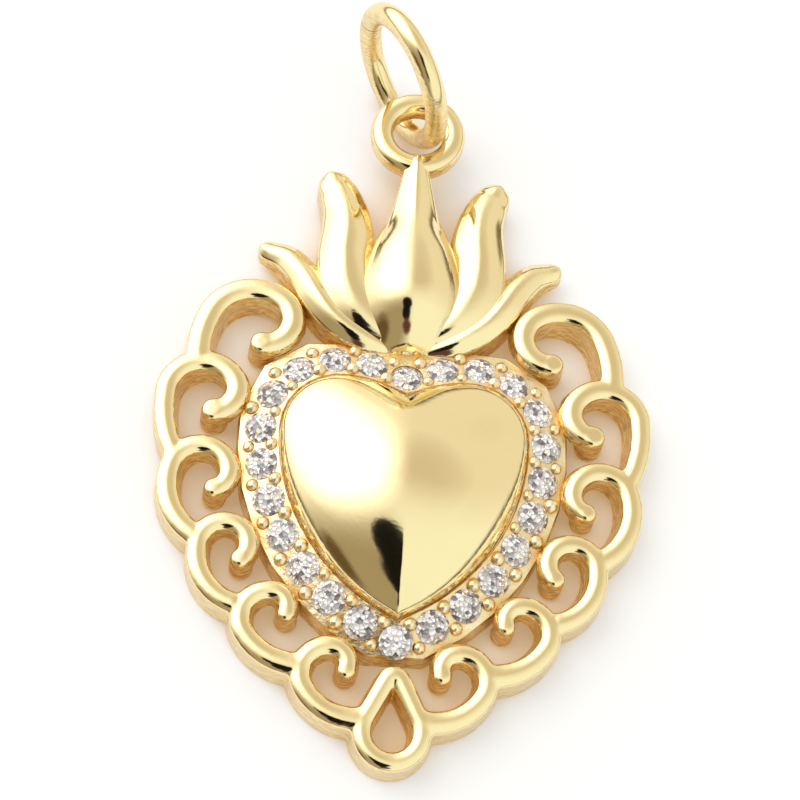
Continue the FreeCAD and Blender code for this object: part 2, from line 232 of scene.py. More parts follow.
class PendantRingSizes(PropertyGroup):
    radius: length("Ring radius", "Centre line radius of the jump ring", 2.9)
    wire: length("Ring wire", "Thickness of the jump ring's wire", 1.0)
    x: length("Ring X", "Middle of the jump ring", -0.9)
    y: length("Ring Y", "Middle of the jump ring", 21.16)
    lift: length("Ring lift", "Gap under the jump ring", 0.02)
    slit: length("Slit", "Opening where the wire's ends meet", 0.05)
    heading: FloatProperty(name="Heading", description="Turn of the ring's plane from +Y",
                           default=math.radians(32.2), subtype="ANGLE")
    slit_turn: FloatProperty(name="Slit turn", description="Where the slit is, up from the ring's far side",
                             default=math.radians(12), subtype="ANGLE")


class PendantFinishes(PropertyGroup):
    gold: colour("Gold", "Polished plating", (0.96, 0.80, 0.46, 1.0))
    # Painted light: the plating between the stones is a paler copy of the same gold, for its many small
    # highlights.
    halo_lit_gold: colour("Halo gold", "Plating between the stones", (0.98, 0.86, 0.60, 1.0))
    # Painted shade: the deeper gold of the cast walls stands in for shade and gold-on-gold reflection.
    cast_wall_shade_gold: colour("Cast gold", "Plating over rough cast walls", (1.0, 0.74, 0.31, 1.0))
    ring_gold: colour("Ring gold", "Plating of the jump ring", (0.96, 0.79, 0.44, 1.0))
    # The stones' bright facets take this tint, and darker copies of it make their painted dark reflections.
    crystal: colour("Crystal", "Tint of the stones", (1.0, 0.97, 1.0, 1.0))
    table: colour("Table", "Floor under the pendant", (0.93, 0.915, 0.925, 1.0))


GROUPS = {
    "pendant_border": PendantBorderSizes,
    "pendant_heart": PendantHeartSizes,
    "pendant_stones": PendantStoneSizes,
    "pendant_flame": PendantFlameSizes,
    "pendant_ring": PendantRingSizes,
    "pendant_finishes": PendantFinishes,
}


def mm(value):
    return value / MM


# Working with objects and edit mode

def clear():
    if bpy.context.object and bpy.context.object.mode != "OBJECT":
        bpy.ops.object.mode_set(mode="OBJECT")
    bpy.ops.object.select_all(action="DESELECT")


def choose(*objects):
    clear()
    for made in objects:
        made.select_set(True)
    bpy.context.view_layer.objects.active = objects[0]


def edit(made):
    choose(made)
    bpy.ops.object.mode_set(mode="EDIT")
    bpy.ops.mesh.select_mode(type="VERT")
    bpy.ops.mesh.select_all(action="SELECT")


def outline(name, corners, fill="NGON"):
    clear()
    bpy.ops.mesh.primitive_circle_add(vertices=len(corners), radius=1.0, fill_type=fill)
    made = bpy.context.object
    made.name = name
    for vertex, corner in zip(made.data.vertices, corners):
        vertex.co = corner
    return made


def modify(made, kind, **settings):
    choose(made)
    modifier = made.modifiers.new(kind.lower(), kind)
    for key, value in settings.items():
        setattr(modifier, key, value)
    bpy.ops.object.modifier_apply(modifier=modifier.name)


def join(name, parts):
    choose(*parts)
    if len(parts) > 1:
        bpy.ops.object.join()
    made = bpy.context.object
    made.name = name
    made.data.name = name
    return made


def tidy(made, distance=0.0005):
    edit(made)
    bpy.ops.mesh.remove_doubles(threshold=distance)
    bpy.ops.mesh.normals_make_consistent(inside=False)
    bpy.ops.object.mode_set(mode="OBJECT")


def place(made, material, slot, *nodes, angle=None, body=BODY):
    choose(made)
    made.scale = (MM, MM, MM)
    bpy.ops.object.transform_apply(location=True, rotation=True, scale=True)
    if angle is None:
        bpy.ops.object.shade_smooth()
    elif angle > 0:
        bpy.ops.object.shade_smooth_by_angle(angle=math.radians(angle))
    made.data.materials.clear()
    made.data.materials.append(material)
    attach(made, body)
    if nodes:
        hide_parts(*nodes)
    clear()


# The heart family of outlines: a crown arc, a lobe arc and a side arc, moved by an offset

def heart_arcs():
    heart = bpy.context.scene.pendant_heart
    lobe = Vector((mm(heart.lobe_x), mm(heart.lobe_y), 0))
    crown = lobe - Vector((0, mm(heart.crown_drop), 0))
    side = Vector((-mm(heart.side_centre), lobe.y, 0))
    lobe_r = mm(heart.lobe_radius)
    crown_r = lobe_r + mm(heart.crown_drop)
    side_r = lobe_r + lobe.x - side.x
    return (crown, crown_r), (lobe, lobe_r), (side, side_r)


def polar(centre, radius, degrees, z=0.0):
    turn = math.radians(degrees)
    return Vector((centre.x + radius * math.cos(turn), centre.y + radius * math.sin(turn), z))


def heart_angles(offset):
    (crown, crown_r), (lobe, lobe_r), (side, side_r) = heart_arcs()
    top = math.degrees(math.acos(-crown.x / (crown_r + offset)))
    tip = -math.degrees(math.acos(-side.x / (side_r + offset)))
    return (top, 90.0), (90.0, 0.0), (0.0, tip)


def heart_half(offset, gap):
    points = []
    for (centre, radius), (start, end) in zip(heart_arcs(), heart_angles(offset)):
        steps = max(2, round(math.radians(start - end) * (radius + offset) / gap))
        for k in range(steps):
            points.append(polar(centre, radius + offset, start + (end - start) * k / steps))
    points.append(polar(centre, radius + offset, end))
    points[0].x = 0
    points[-1].x = 0
    return points


def heart_outline(offset, gap):
    half = heart_half(offset, gap)
    return half + [Vector((-p.x, p.y, 0)) for p in half[-2:0:-1]]


def smooth(share):
    share = min(max(share, 0.0), 1.0)
    return share * share * (3 - 2 * share)


def heart_offset(point):
    (crown, crown_r), (lobe, lobe_r), (side, side_r) = heart_arcs()
    x = abs(point.x)
    if point.y < lobe.y:
        return math.hypot(x - side.x, point.y - side.y) - side_r
    if x < crown.x:
        return math.hypot(x - crown.x, point.y - crown.y) - crown_r
    return math.hypot(x - lobe.x, point.y - lobe.y) - lobe_r


def heart_run():
    return sum(math.radians(start - end) * radius
               for (centre, radius), (start, end) in zip(heart_arcs(), heart_angles(0.0)))


def heart_spot(run):
    """Point on the stone line and the way out from it, a given run from the cleft."""
    angles = heart_angles(0.0)
    total = 2 * heart_run()
    run = run % total
    left = run > total / 2
    rest = total - run if left else run
    for (centre, radius), (start, end) in zip(heart_arcs(), angles):
        stretch = math.radians(start - end) * radius
        if rest <= stretch or end == angles[2][1]:
            angle = start - math.degrees(rest / radius)
            break
        rest -= stretch
    point = polar(centre, radius, angle)
    out = polar(Vector((0, 0, 0)), 1.0, angle)
    if abs(point.x) < 0.001:
        out = Vector((0, 1 if point.y > 0 else -1, 0))
    if left:
        point.x = -point.x
        out.x = -out.x
    return point, out


def halo_tilt():
    heart = bpy.context.scene.pendant_heart
    fall = heart.halo_top - heart.halo_edge
    width = heart.halo_in + heart.halo_out
    level = mm(heart.halo_edge) + mm(fall) * heart.halo_out / width
    return math.atan2(fall, width), level


def seat_matrix(run):
    point, out = heart_spot(run)
    tilt, level = halo_tilt()
    axis = Vector((-out.y, out.x, 0))
    return Matrix.Translation(Vector((point.x, point.y, level))) @ Matrix.Rotation(tilt, 4, axis)


# Materials

def nodes_of(name):
    material = bpy.data.materials.new(name)
    material.use_nodes = True
    tree = material.node_tree
    shader = tree.nodes["Principled BSDF"]
    return material, tree, shader


def opaque(values):
    return tuple(values) + (1.0,)


def dimmed(tone, *shares):
    """A colour with its parts multiplied by one share, or by one each."""
    return opaque(part * share for part, share in zip(tone, shares if len(shares) == 3 else shares * 3))


def object_place(tree):
    return tree.nodes.new("ShaderNodeTexCoord").outputs["Object"]


def noise(tree, coordinates, scale, detail=3.0):
    made = tree.nodes.new("ShaderNodeTexNoise")
    made.inputs["Scale"].default_value = scale
    made.inputs["Detail"].default_value = detail
    tree.links.new(coordinates, made.inputs["Vector"])
    return made.outputs["Fac"]


def openness(tree, distance, samples=6):
    """1 where nothing is near the surface, falling towards 0 in corners."""
    made = tree.nodes.new("ShaderNodeAmbientOcclusion")
    made.samples = samples
    made.inputs["Distance"].default_value = distance
    return made.outputs["AO"]


def combine(tree, operation, first, second):
    made = tree.nodes.new("ShaderNodeMath")
    made.operation = operation
    for socket, value in zip(made.inputs, (first, second)):
        if isinstance(value, bpy.types.NodeSocket):
            tree.links.new(value, socket)
        else:
            socket.default_value = value
    return made.outputs[0]


def remap(tree, value, low, high, to_low, to_high, soft=False):
    made = tree.nodes.new("ShaderNodeMapRange")
    if soft:
        made.interpolation_type = "SMOOTHSTEP"
    made.inputs["From Min"].default_value = low
    made.inputs["From Max"].default_value = high
    made.inputs["To Min"].default_value = to_low
    made.inputs["To Max"].default_value = to_high
    tree.links.new(value, made.inputs["Value"])
    return made.outputs["Result"]


def blend(tree, share, first, second):
    made = tree.nodes.new("ShaderNodeMix")
    made.data_type = "RGBA"
    tree.links.new(share, made.inputs["Factor"])
    for name, value in (("A", first), ("B", second)):
        socket = next(s for s in made.inputs if s.name == name and s.type == "RGBA")
        if isinstance(value, bpy.types.NodeSocket):
            tree.links.new(value, socket)
        else:
            socket.default_value = value
    return next(s for s in made.outputs if s.type == "RGBA")


def bump(tree, height, strength, distance, below=None):
    made = tree.nodes.new("ShaderNodeBump")
    made.inputs["Distance"].default_value = distance
    if isinstance(strength, bpy.types.NodeSocket):
        tree.links.new(strength, made.inputs["Strength"])
    else:
        made.inputs["Strength"].default_value = strength
    tree.links.new(height, made.inputs["Height"])
    if below:
        tree.links.new(below, made.inputs["Normal"])
    return made.outputs["Normal"]


def gold(name, polished, cast, shine=0.08, grain_low=0.02, pitted=None):
    """Plated metal: bright where it was polished, grainy and rough on cast walls, and deeper in colour there
    as painted shade and painted gold-on-gold reflection, most in openings and corners.
    """
    material, tree, shader = nodes_of(name)
    where = object_place(tree)
    facing = tree.nodes.new("ShaderNodeSeparateXYZ")
    tree.links.new(tree.nodes.new("ShaderNodeNewGeometry").outputs["Normal"], facing.inputs["Vector"])
    steep = remap(tree, facing.outputs["Z"], 0.2, 0.55, 1.0, 0.0)
    # Painted shade: the wall share grows where other parts are near, in openings and corners where shade
    # falls.
    shade_in_openings = remap(tree, openness(tree, 0.002), 0.38, 0.60, 1.0, 0.35)
    cast_wall_and_shade = combine(tree, "MULTIPLY", steep, shade_in_openings)
    layers = tree.nodes.new("ShaderNodeMapping")
    layers.inputs["Scale"].default_value = (1.0, 1.0, 4.0)
    tree.links.new(where, layers.inputs["Vector"])
    grain = noise(tree, layers.outputs["Vector"], GRAIN, 4.0)
    clouds = remap(tree, noise(tree, where, CLOUDS), 0.35, 0.65, 0.0, 0.25)
    top = blend(tree, clouds, polished, dimmed(polished, 0.93))
    if pitted:
        pits = remap(tree, noise(tree, where, PITS, 2.0), 0.52, 0.57, 0.0, 1.0)
        # Painted shade: recesses between stones and beads take a deeper, darker copy of the pit colour.
        painted_recess_shade = remap(tree, openness(tree, 0.0006), 0.66, 0.92, 0.0, 1.0)
        top = blend(tree, painted_recess_shade, dimmed(pitted, 0.82, 0.62, 0.42), blend(tree, pits, top, pitted))
    # The wall colour, darker in a random grain, is painted shade and painted gold-on-gold reflection on the
    # rough cast walls.
    darker_grain = remap(tree, grain, 0.42, 0.56, 0.0, 1.0)
    side = blend(tree, darker_grain, dimmed(cast, 0.66, 0.5, 0.3), cast)
    tree.links.new(blend(tree, cast_wall_and_shade, top, side), shader.inputs["Base Color"])
    tree.links.new(remap(tree, cast_wall_and_shade, 0.0, 1.0, shine, 0.34), shader.inputs["Roughness"])
    shader.inputs["Metallic"].default_value = 1.0
    waves = bump(tree, noise(tree, where, WAVES, 1.0), 0.25, 0.00004)
    rough = bump(tree, grain, remap(tree, cast_wall_and_shade, 0.0, 1.0, grain_low, 1.0), 0.00015, waves)
    tree.links.new(rough, shader.inputs["Normal"])
    return material


def mosaic(tree, where, feature):
    made = tree.nodes.new("ShaderNodeTexVoronoi")
    made.feature = feature
    made.inputs["Scale"].default_value = FACETS
    tree.links.new(where, made.inputs["Vector"])
    return made.outputs


def crystal(name, tint):
    """Cut crystal: a mosaic of bright, grey and dark facets under a polished face. The facets and the dark
    lines at their edges are painted reflections and painted sparkle in the colour.
    """
    material, tree, shader = nodes_of(name)
    where = object_place(tree)
    cells = mosaic(tree, where, "F1")
    chance = tree.nodes.new("ShaderNodeSeparateColor")
    tree.links.new(cells["Color"], chance.inputs["Color"])
    # Painted reflection: random cells turn dark grey, as facets that mirror dark surroundings.
    facet_reflections = blend(tree, remap(tree, chance.outputs["Red"], 0.08, 0.46, 0.0, 1.0),
                   dimmed(tint, 0.17, 0.155, 0.185), tint)
    # Painted reflection: dark lines along the cell edges.
    painted_edge_lines = remap(tree, mosaic(tree, where, "DISTANCE_TO_EDGE")["Distance"], 0.0, 0.10, 0.35, 1.0)
    tree.links.new(blend(tree, painted_edge_lines, dimmed(tint, 0.12), facet_reflections), shader.inputs["Base Color"])
    tree.links.new(remap(tree, chance.outputs["Green"], 0.45, 0.8, 0.0, 0.8), shader.inputs["Metallic"])
    tree.links.new(bump(tree, cells["Distance"], 0.8, 0.0002), shader.inputs["Normal"])
    shader.inputs["Roughness"].default_value = 0.06
    shader.inputs["Coat Weight"].default_value = 1.0
    shader.inputs["Coat Roughness"].default_value = 0.0
    return material


def finish_colours():
    return bpy.context.scene.pendant_finishes


def material_once(name, make, *arguments, **settings):
    return bpy.data.materials.get(name) or make(name, *arguments, **settings)


def plate_gold():
    finishes = finish_colours()
    return material_once("polished_plate", gold, tuple(finishes.gold), tuple(finishes.cast_wall_shade_gold))


def halo_lit_gold():
    finishes = finish_colours()
    # Painted light: the halo tops get the paler gold.
    return material_once("bead_plate", gold, tuple(finishes.halo_lit_gold), tuple(finishes.gold),
                         shine=0.26, grain_low=0.3, pitted=tuple(finishes.gold))


def ring_gold():
    tone = tuple(finish_colours().ring_gold)
    return material_once("ring_plate", gold, tone, tone, shine=0.14)


# Border

def band_section(at, heading, half, border):
    """Walls with draft under a domed top."""
    out = Vector((-math.sin(math.radians(heading)), math.cos(math.radians(heading)), 0))
    thick, foot, crown = mm(border.thick), half + mm(border.draft), mm(border.crown)
    eaves = thick - crown - BAND_EDGE
    corners = [(-foot, 0), (foot, 0), (half, eaves)]
    corners += [(half * share, thick - crown * share ** 2) for share in BAND_CORNERS]
    corners.append((-half, eaves))
    return [at + out * across + Vector((0, 0, z)) for across, z in corners]


def scroll_band(name, scroll, border):
    """One scroll: its band, spun arc by arc and tapered, and the round cap of its hook end."""
    x, y, heading, *arcs, first, last = scroll
    thick, draft = mm(border.thick), mm(border.draft)
    at = Vector((x, y, 0))
    half = first / 2
    made = outline(name, band_section(at, heading, half, border))
    edit(made)
    run = sum(math.radians(degrees) * radius for radius, degrees in arcs)
    for radius, degrees in arcs:
        centre = polar(at, radius, heading - 90)
        steps = max(4, round(degrees / SPIN_STEP))
        stretch = math.radians(degrees) * radius / steps
        for _ in range(steps):
            heading -= degrees / steps
            at = polar(centre, radius, heading + 90)
            wider = half + (last - first) / 2 * stretch / run
            bpy.ops.mesh.spin(steps=1, angle=math.radians(degrees / steps), center=centre, axis=(0, 0, 1))
            bpy.ops.transform.resize(value=(wider / half, wider / half, 1), center_override=at)
            half = wider
    bpy.ops.object.mode_set(mode="OBJECT")
    clear()
    bpy.ops.mesh.primitive_cone_add(vertices=32, radius1=first / 2 + draft, radius2=first / 2,
                                    depth=thick, location=(x, y, thick / 2))
    cap = bpy.context.object
    choose(cap)
    bpy.ops.object.transform_apply(location=True)
    modify(cap, "BEVEL", width=mm(border.cap_round), segments=3, limit_method="ANGLE",
           angle_limit=math.radians(40))
    return [made, cap]


def teardrop(name, border):
    """A round end, two straight legs and a small round tip, carried round as one band."""
    low = Vector((0, mm(border.drop_y), 0))
    radius = mm(border.drop_radius)
    lean = math.asin(radius / (mm(border.drop_apex) - low.y))
    tip = mm(border.drop_band) * 0.4
    high = Vector((0, low.y + (radius - tip) / math.sin(lean), 0))
    turn = math.degrees(lean)
    half = mm(border.drop_band) / 2
    start = polar(low, radius, turn)
    made = outline(name, band_section(start, turn - 90, half, border))
    edit(made)
    bpy.ops.mesh.spin(steps=24, angle=math.radians(180 + 2 * turn), center=low, axis=(0, 0, 1))
    up = polar(high, tip, 180 - turn) - polar(low, radius, 180 - turn)
    bpy.ops.mesh.extrude_region_move(TRANSFORM_OT_translate={"value": up})
    bpy.ops.mesh.spin(steps=10, angle=math.radians(180 - 2 * turn), center=high, axis=(0, 0, 1))
    down = start - polar(high, tip, turn)
    bpy.ops.mesh.extrude_region_move(TRANSFORM_OT_translate={"value": down})
    bpy.ops.object.mode_set(mode="OBJECT")
    return made


def hollow_behind(made, border):
    """Lifts the foot of every band where the border is dished behind."""
    near = mm(bpy.context.scene.pendant_heart.halo_out)
    reach = mm(border.dish_reach)
    for vertex in made.data.vertices:
        if vertex.co.z < 0.01:
            share = (reach - heart_offset(vertex.co)) / (reach - near)
            vertex.co.z = mm(border.dish_height) * min(max(share, 0.0), 1.0)


class PENDANT_OT_border(Operator):
    """Model the scrolled openwork border and the teardrop at its foot"""
    bl_idname = "pendant.border"
    bl_label = "Border"

    def execute(self, context):
        border = context.scene.pendant_border
        bands = []
        for n, scroll in enumerate(SCROLLS, 1):
            bands += scroll_band("scroll_%d" % n, scroll, border)
        made = join("openwork_border", bands)
        tidy(made)
        hollow_behind(made, border)
        modify(made, "MIRROR", use_axis=(True, False, False), use_mirror_merge=False)
        drop = teardrop("teardrop", border)
        tidy(drop)
        made = join("openwork_border", [made, drop])
        modify(made, "REMESH", mode="VOXEL", voxel_size=mm(border.voxel))
        modify(made, "SMOOTH", factor=0.5, iterations=border.melt)
        place(made, plate_gold(), "gold_plate", "cast_body")
        return {"FINISHED"}


# Heart: halo, bead prongs, dome

def halo_edge_point(run, offset):
    """Point on the halo, wider on the outside where the lobes turn down."""
    point, out = heart_spot(run)
    if offset > 0:
        shoulder = (abs(out.x) + out.y) / math.sqrt(2)
        offset += mm(bpy.context.scene.pendant_heart.halo_swell) * smooth((shoulder - 0.75) / 0.25)
    return point + out * offset


def halo_corner(k, run, offset, z):
    """Corner of the halo: its outside runs straight from prong to prong, past each stone."""
    if k % 2 == 0 and offset > 0:
        point = (halo_edge_point((k - 1) * run, offset) + halo_edge_point((k + 1) * run, offset)) / 2
    else:
        point = halo_edge_point(k * run, offset)
    return Vector((point.x, point.y, z))


def move_selected(made, corners):
    bpy.ops.object.mode_set(mode="OBJECT")
    moved = [v for v in made.data.vertices if v.select]
    if len(moved) != len(corners):
        raise RuntimeError("%s: %d corners for %d points" % (made.name, len(corners), len(moved)))
    for vertex, corner in zip(moved, corners):
        vertex.co = corner
    bpy.ops.object.mode_set(mode="EDIT")


def seat_cutters(stones):
    """A cone with a cylinder on top for every stone, in its seat."""
    cutters = []
    radius = mm(stones.diameter) / 2 + SEAT_WIDER
    depth = mm(stones.pavilion) + SEAT_DEEPER
    run = 2 * heart_run() / stones.count
    for k in range(stones.count):
        clear()
        bpy.ops.mesh.primitive_cone_add(vertices=32, radius1=0.02, radius2=radius, depth=depth)
        cutter = bpy.context.object
        cutter.data.transform(Matrix.Translation((0, 0, -depth / 2)))
        edit(cutter)
        bpy.ops.mesh.select_all(action="DESELECT")
        bpy.ops.object.mode_set(mode="OBJECT")
        for face in cutter.data.polygons:
            face.select = face.normal.z > 0.9 and face.center.z > -0.01
        bpy.ops.object.mode_set(mode="EDIT")
        bpy.ops.mesh.select_mode(type="FACE")
        bpy.ops.mesh.extrude_region_move(TRANSFORM_OT_translate={"value": (0, 0, SEAT_CUTTER_RISE)})
        bpy.ops.object.mode_set(mode="OBJECT")
        cutter.data.transform(seat_matrix(k * run))
        cutters.append(cutter)
    return join("seat_cutters", cutters)


class PENDANT_OT_halo(Operator):
    """Model the sloping halo with a cut seat for every stone"""
    bl_idname = "pendant.halo"
    bl_label = "Halo"

    def execute(self, context):
        heart = context.scene.pendant_heart
        out, inside = mm(heart.halo_out), -mm(heart.halo_in)
        edge, top = mm(heart.halo_edge), mm(heart.halo_top)
        count = context.scene.pendant_stones.count
        run = heart_run() / count
        # offset from the stone line and height, from the outer foot over the top to the inner foot
        rows = ((out + 0.1, 0), (out + 0.02, edge - 0.1), (out - 0.05, edge), (inside + 0.05, top),
                (inside, top - 0.04), (inside, 0))
        made = outline("halo", [halo_corner(k, run, *rows[0]) for k in range(2 * count)], fill="NOTHING")
        edit(made)
        for row in rows[1:]:
            bpy.ops.mesh.extrude_region_move()
            move_selected(made, [halo_corner(k, run, *row) for k in range(2 * count)])
        bpy.ops.mesh.select_mode(type="EDGE")
        bpy.ops.mesh.select_all(action="DESELECT")
        bpy.ops.mesh.select_non_manifold(extend=False)
        bpy.ops.mesh.bridge_edge_loops()
        bpy.ops.object.mode_set(mode="OBJECT")
        tidy(made)
        cutters = seat_cutters(context.scene.pendant_stones)
        modify(made, "BOOLEAN", operation="DIFFERENCE", object=cutters, solver="EXACT")
        bpy.data.objects.remove(cutters)
        place(made, halo_lit_gold(), "gold_plate", angle=CRISP)
        return {"FINISHED"}


def bead_wear(k, way):
    """Between -1 and 1 and different from bead to bead, for its size and place."""
    return ((k * 37 + way * 11) % 13 - 6) / 6


class PENDANT_OT_prongs(Operator):
    """Model the bead prongs, a pair between every two stones"""
    bl_idname = "pendant.prongs"
    bl_label = "Bead prongs"

    def execute(self, context):
        stones = context.scene.pendant_stones
        run = 2 * heart_run() / stones.count
        radius, offset, sink = mm(stones.bead), mm(stones.bead_offset), mm(stones.bead_sink)
        tilt = halo_tilt()[0]
        beads = []
        for k in range(stones.count):
            out = heart_spot((k + 0.5) * run)[1]
            for way in (-1, 1):
                clear()
                wear = bead_wear(k, way)
                bpy.ops.mesh.primitive_uv_sphere_add(segments=16, ring_count=10,
                                                     radius=radius * (1 + 0.1 * wear))
                bead = bpy.context.object
                shift = Matrix.Translation(out * (way * offset + 0.04 * wear))
                drop = Matrix.Translation((0, 0, -sink - way * offset * math.tan(tilt)))
                bead.data.transform(shift @ drop @ seat_matrix((k + 0.5) * run))
                beads.append(bead)
        made = join("bead_prongs", beads)
        place(made, halo_lit_gold(), "gold_plate")
        return {"FINISHED"}


def dome_ring(corners, degrees, foot, heart):
    """One level of the dome, from the heart's rim at 0 to the top at 90 degrees.

    The heart's outline melts into a round one on the way up, the notch sooner than the point.
    """
    middle = Vector((0, mm(heart.dome_centre), 0))
    share = math.cos(math.radians(degrees))
    rise = mm(heart.dome_height) * (1 - share ** 1.8) ** 0.62
    point_melt, notch_melt = smooth((degrees - 12) / 62), smooth((degrees - 6) / 46)
    round_r, smaller = mm(heart.dome_round), mm(heart.dome_notch)
    ring = []
    for corner in corners:
        arm = corner - middle
        upward = smooth((arm.normalized().y + 0.5) / 1.2)
        melt = point_melt + (notch_melt - point_melt) * upward
        arm = arm * (1 - melt) + arm.normalized() * ((round_r - smaller * upward) * melt)
        ring.append(middle + arm * share + Vector((0, 0, foot + rise)))
    return ring


class PENDANT_OT_dome(Operator):
    """Model the puffed heart and the plate that backs it"""
    bl_idname = "pendant.dome"
    bl_label = "Domed heart"

    def execute(self, context):
        heart = context.scene.pendant_heart
        inside, foot = -mm(heart.halo_in), mm(heart.halo_top)
        made = outline("domed_heart", heart_outline(inside - mm(heart.groove), 0.12), fill="NOTHING")
        corners = [vertex.co.copy() for vertex in made.data.vertices]
        edit(made)
        bpy.ops.mesh.extrude_region_move(TRANSFORM_OT_translate={"value": (0, 0, foot)})
        for degrees in range(4, 89, 3):
            bpy.ops.mesh.extrude_region_move()
            move_selected(made, dome_ring(corners, degrees, foot, heart))
        bpy.ops.mesh.merge(type="CENTER")
        bpy.ops.object.mode_set(mode="OBJECT")
        tidy(made)
        plate = outline("heart_plate", heart_outline(inside + 0.1, 0.15))
        edit(plate)
        well = foot - mm(heart.groove_depth)
        bpy.ops.mesh.extrude_region_move(TRANSFORM_OT_translate={"value": (0, 0, well)})
        bpy.ops.object.mode_set(mode="OBJECT")
        tidy(plate)
        place(made, plate_gold(), "gold_plate", angle=SOFT)
        place(plate, plate_gold(), "gold_plate", angle=CRISP)
        return {"FINISHED"}


# Flame

def curve_through(rows, share):
    """A point on the smooth curve through the rows, share 0 to 1."""
    spans = len(rows) - 1
    place_along = min(share * spans, spans - 1e-6)
    k = int(place_along)
    t = place_along - k
    before, a, b, after = (rows[min(max(k + j, 0), spans)] for j in (-1, 0, 1, 2))
    return tuple(
        0.5 * (2 * q + (r - p) * t + (2 * p - 5 * q + 4 * r - s) * t * t + (3 * q - p - 3 * r + s) * t ** 3)
        for p, q, r, s in zip(before, a, b, after)
    )


def petal_rows(stations):
    """Place, heading, half width, side height and crest along a petal, with a rounded tip."""
    total = (len(stations) - 1) * STATION_STEPS
    rows = [curve_through(stations, k / total) for k in range(total + 1)]
    placed = []
    for k, (x, y, half, low, crest) in enumerate(rows):
        near, far = rows[max(k - 1, 0)], rows[min(k + 1, total)]
        along = Vector((far[0] - near[0], far[1] - near[1], 0)).normalized()
        placed.append((Vector((x, y, 0)), along, half, low, crest))
    at, along, half, low, crest = placed[-1]
    for degrees in TIP_ANGLES:
        turn = math.radians(degrees)
        across = math.cos(turn)
        placed.append((at + along * half * 1.1 * math.sin(turn), along, half * across,
                       low + (crest - low) * 0.1 * (across - 1), low + (crest - low) * across ** 0.75))
    return placed


def petal_section(at, along, half, low, crest, ridge, spread, foot):
    """Leaning sides, a small round at each top edge, and a crest between them."""
    spread = min(spread, 0.6 * half)
    out = Vector((-along.y, along.x, 0))
    corners = [at + out * (way * (half + spread + 0.05)) + Vector((0, 0, foot)) for way in (-1, 1)]
    edge = ((half + spread, -2.2 * spread), (half + 0.02, -0.06), (half - 0.03, 0.0))
    corners += [at + out * wide + Vector((0, 0, low + drop)) for wide, drop in edge]
    for k in range(1 - CREST_STEPS, CREST_STEPS):
        across = -k / CREST_STEPS
        height = low + (crest - low) * (1 - abs(across) ** ridge)
        corners.append(at + out * (across * (half - 0.06)) + Vector((0, 0, height)))
    corners += [at - out * wide + Vector((0, 0, low + drop)) for wide, drop in reversed(edge)]
    return corners


def petal(name, stations, ridge, spread, rounder=0.0, lift=0.0):
    """Carries the section along the stations.

    rounder softens the ridge where the petal is broad, and lift thins the tip from below.
    """
    rows = petal_rows(stations)
    sections = []
    for k, row in enumerate(rows):
        here = ridge + rounder * smooth((row[2] - 0.9) / 0.9)
        foot = lift * smooth((k / len(rows) - 0.55) / 0.4)
        sections.append(petal_section(*row, here, spread, foot))
    made = outline(name, sections[0])
    edit(made)
    for section in sections[1:]:
        bpy.ops.mesh.extrude_region_move()
        move_selected(made, section)
    bpy.ops.object.mode_set(mode="OBJECT")
    tidy(made)
    return made


class PENDANT_OT_flame(Operator):
    """Model the five flame petals above the heart"""
    bl_idname = "pendant.flame"
    bl_label = "Flame"

    def execute(self, context):
        flame = context.scene.pendant_flame
        bulb = petal("flame_bulb", BULB, flame.ridge - BULB_SHARPER, BULB_SPREAD, rounder=BULB_ROUNDER)
        place(bulb, plate_gold(), "gold_plate", angle=SOFT)
        for name, stations, spread, lift in SIDE_PETALS:
            made = petal(name, stations, flame.ridge, spread, lift=lift)
            modify(made, "REMESH", mode="VOXEL", voxel_size=mm(flame.petal_grain))
            modify(made, "SMOOTH", factor=0.5, iterations=flame.petal_melt)
            modify(made, "MIRROR", use_axis=(True, False, False), use_mirror_merge=False)
            place(made, plate_gold(), "gold_plate")
        return {"FINISHED"}


# Loop and jump ring

class PENDANT_OT_loop(Operator):
    """Model the hanging loop on top of the flame"""
    bl_idname = "pendant.loop"
    bl_label = "Hanging loop"

    def execute(self, context):
        flame = context.scene.pendant_flame
        centre = Vector((0, mm(flame.loop_y), mm(flame.loop_z)))
        half = mm(flame.loop_wire) / 2
        corners = []
        for k in range(20):
            turn = math.radians(18 * k)
            round_off = flame.loop_round
            square = (abs(math.cos(turn)) ** round_off + abs(math.sin(turn)) ** round_off) ** (-1 / round_off)
            across, up = half * square * math.cos(turn), half * square * math.sin(turn)
            corners.append(centre + Vector((mm(flame.loop_radius) + across, 0, up)))
        made = outline("hanging_loop", corners)
        edit(made)
        bpy.ops.mesh.delete(type="ONLY_FACE")
        bpy.ops.mesh.select_all(action="SELECT")
        bpy.ops.mesh.spin(steps=72, angle=math.radians(360), center=centre, axis=(0, 0, 1))
        bpy.ops.object.mode_set(mode="OBJECT")
        tidy(made)
        place(made, plate_gold(), "gold_plate")
        return {"FINISHED"}


